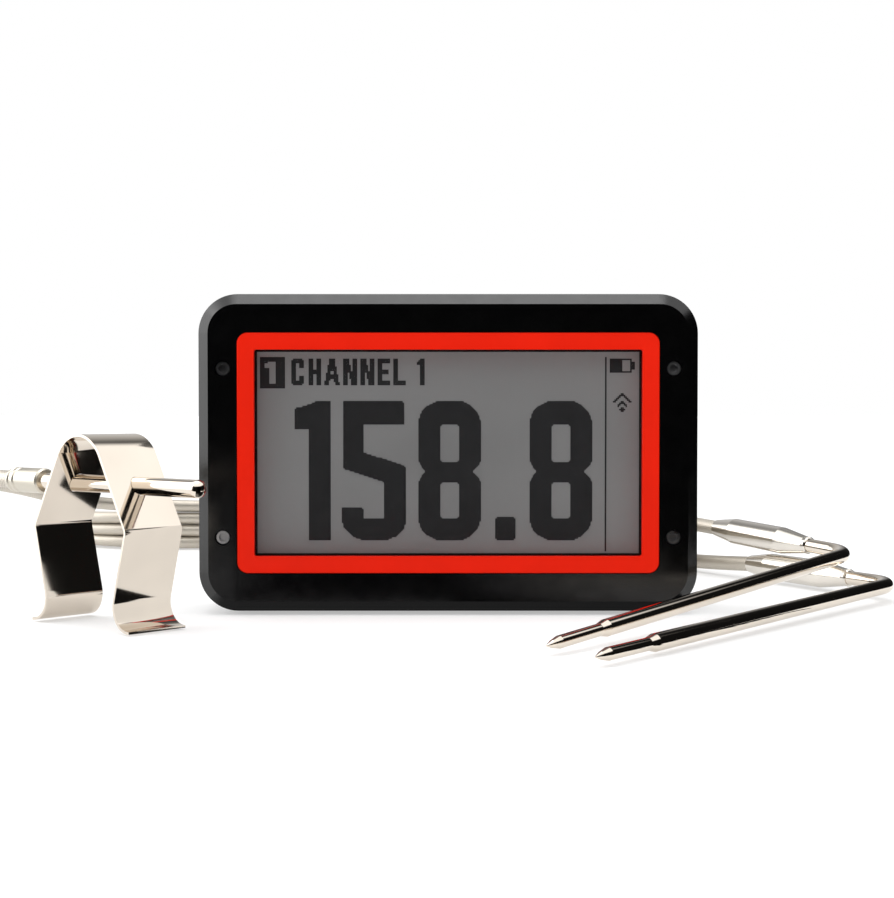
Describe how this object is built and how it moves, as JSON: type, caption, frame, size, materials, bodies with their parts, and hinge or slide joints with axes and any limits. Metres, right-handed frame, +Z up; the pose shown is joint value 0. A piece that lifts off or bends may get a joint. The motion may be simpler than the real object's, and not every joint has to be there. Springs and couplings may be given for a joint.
{
  "type": "meat thermometer",
  "caption": "Standing display unit with side probe sockets, a spring clip holding a straight ambient probe, and bent food probes on braided cables.",
  "frame": {"origin": "centre line of the display unit on the surface it stands on, midway between its front and back faces", "axes": "+Z up, the display faces -Y, +X to the right as seen from the front"},
  "size_m": [0.2948, 0.4009, 0.0822],
  "materials": {
    "housing_black": "fine satin black moulded housing",
    "seal_rubber": "soft matt black rubber",
    "screw_black": "black oxide",
    "surround_red": "smooth red-orange",
    "clear_window": "clear polished pane",
    "lcd_grey": "neutral grey liquid-crystal pane",
    "diffuser_white": "matt white",
    "tray_black": "matt black moulding",
    "circuit_green": "solder-masked board",
    "screw_steel": "plain steel",
    "jack_black": "moulded black",
    "battery_wrap": "shrink-wrapped cell",
    "magnet_nickel": "nickel plated",
    "button_rubber": "matt black cap",
    "polished_steel": "mirror-polished stainless steel",
    "sleeve_steel": "fine turned stainless steel",
    "braided_steel": "fine stainless braid",
    "cable_bulk": null,
    "relief_black": "moulded strain relief",
    "plug_steel": "turned steel shell",
    "contact_nickel": "nickel plated contact",
    "tie_black": "woven strap"
  },
  "bodies": {
    "display_unit": {"front_bezel": "housing_black", "rear_cover": "housing_black", "housing_gasket": "seal_rubber", "base_strip": "seal_rubber", "housing_screws": "screw_black", "display_surround": "surround_red", "display_window": "clear_window", "lcd_glass": "lcd_grey", "backlight_panel": "diffuser_white", "display_carrier": "tray_black", "display_connector": "tray_black", "main_circuit_board": "circuit_green", "board_screws": "screw_steel", "probe_jacks_right": "jack_black", "probe_jacks_left": "jack_black", "battery_pack": "battery_wrap", "battery_pad": "seal_rubber", "mounting_magnets": "magnet_nickel", "button_switch": "tray_black", "charging_socket": "screw_steel", "wireless_module": "screw_steel", "alarm_buzzer": "tray_black"},
    "power_button": {"power_button": "button_rubber"},
    "ambient_probe": {"ambient_rod": "polished_steel", "ambient_sleeve": "sleeve_steel", "ambient_cable_lead": "braided_steel", "ambient_cable_coil": "cable_bulk", "ambient_cable_tail": "braided_steel", "ambient_plug_relief": "relief_black", "ambient_plug_body": "plug_steel", "ambient_plug_contact": "contact_nickel"},
    "grill_clip": {"grill_clip": "polished_steel"},
    "food_probe_b": {"food_shaft_b": "polished_steel", "food_sleeve_b": "sleeve_steel", "food_b_cable_lead": "braided_steel", "food_b_cable_coil": "cable_bulk", "food_b_cable_tail": "braided_steel", "food_b_plug_relief": "relief_black", "food_b_plug_body": "plug_steel", "food_b_plug_contact": "contact_nickel", "food_b_coil_tie": "tie_black"},
    "food_probe_a": {"food_shaft_a": "polished_steel", "food_sleeve_a": "sleeve_steel", "food_a_cable_lead": "braided_steel", "food_a_cable_coil": "cable_bulk", "food_a_cable_tail": "braided_steel", "food_a_plug_relief": "relief_black", "food_a_plug_body": "plug_steel", "food_a_plug_contact": "contact_nickel", "food_a_coil_tie": "tie_black"}
  },
  "joints": [
    {"name": "power_press", "type": "slide", "parent": "display_unit", "child": "power_button", "axis": [0, 0, -1], "range_m": [0, 0.0007], "stiffness_N_per_m": 400, "springref_m": -0.0005},
    {"name": "ambient_lift", "type": "slide", "parent": "display_unit", "child": "ambient_probe", "axis": [0, 0, 1], "range_m": [0, 0.12]},
    {"name": "clip_slide", "type": "slide", "parent": "ambient_probe", "child": "grill_clip", "axis": [0.7431, -0.6691, 0], "range_m": [-0.008, 0.018]},
    {"name": "food_b_lift", "type": "slide", "parent": "display_unit", "child": "food_probe_b", "axis": [0, 0, 1], "range_m": [0, 0.1]},
    {"name": "food_a_lift", "type": "slide", "parent": "food_probe_b", "child": "food_probe_a", "axis": [0, 0, 1], "range_m": [0, 0.08]}
  ]
}
